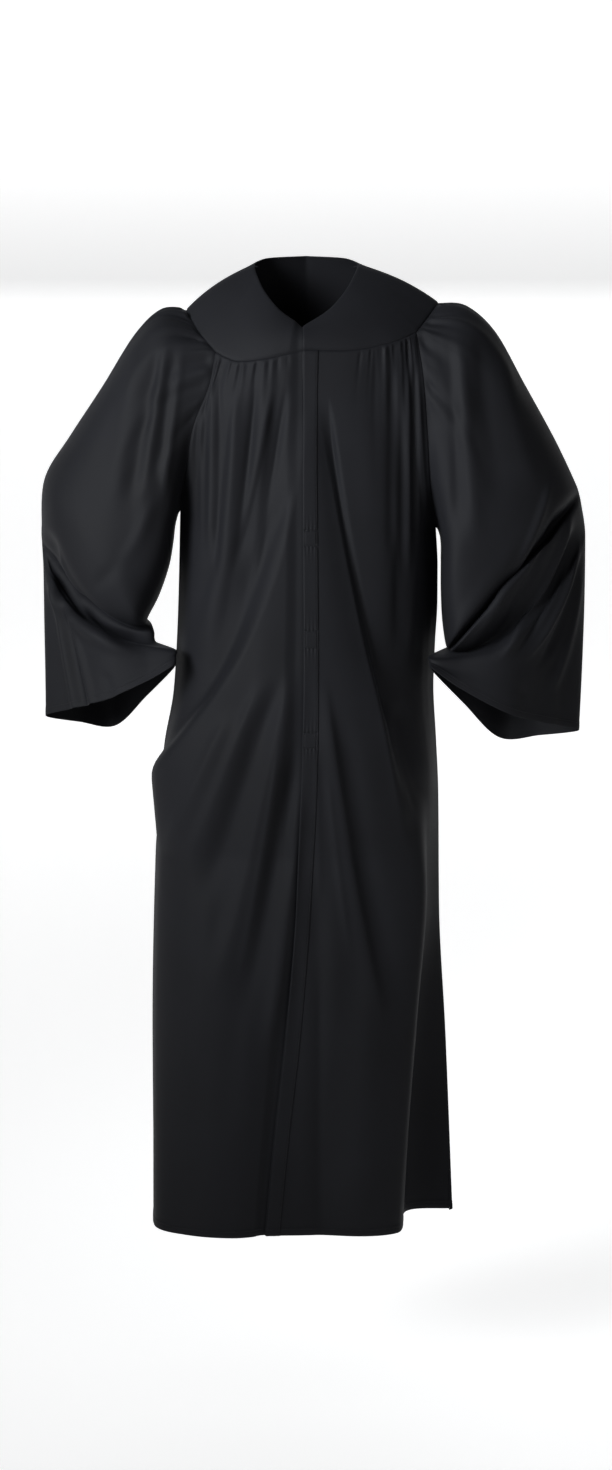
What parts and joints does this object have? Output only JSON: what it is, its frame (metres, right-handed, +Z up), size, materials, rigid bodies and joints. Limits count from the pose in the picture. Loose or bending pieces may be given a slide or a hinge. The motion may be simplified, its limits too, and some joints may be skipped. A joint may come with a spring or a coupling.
{
  "type": "barrister gown, filled out as worn with both arms bent",
  "caption": "Long black open gown with a shaped shoulder yoke, gathered fronts and back, wide bell sleeves and a front band, filled out hollow as it is worn.",
  "frame": {"origin": "between the shoulders, at the height of the back of the neck edge, where the yoke rests on the wearer", "axes": "+Z up, -Y towards the front of the gown, +X towards the wearer's left sleeve"},
  "size_m": [0.7763, 0.358, 1.3691],
  "materials": {
    "gown_cloth": "smooth black polyester with a soft satin sheen"
  },
  "bodies": {
    "root": {"front_right": "gown_cloth", "front_left": "gown_cloth", "front_band": "gown_cloth", "back": "gown_cloth", "yoke_front_right": "gown_cloth", "yoke_front_left": "gown_cloth", "yoke_back": "gown_cloth", "sleeve_right": "gown_cloth", "sleeve_left": "gown_cloth"}
  },
  "joints": []
}
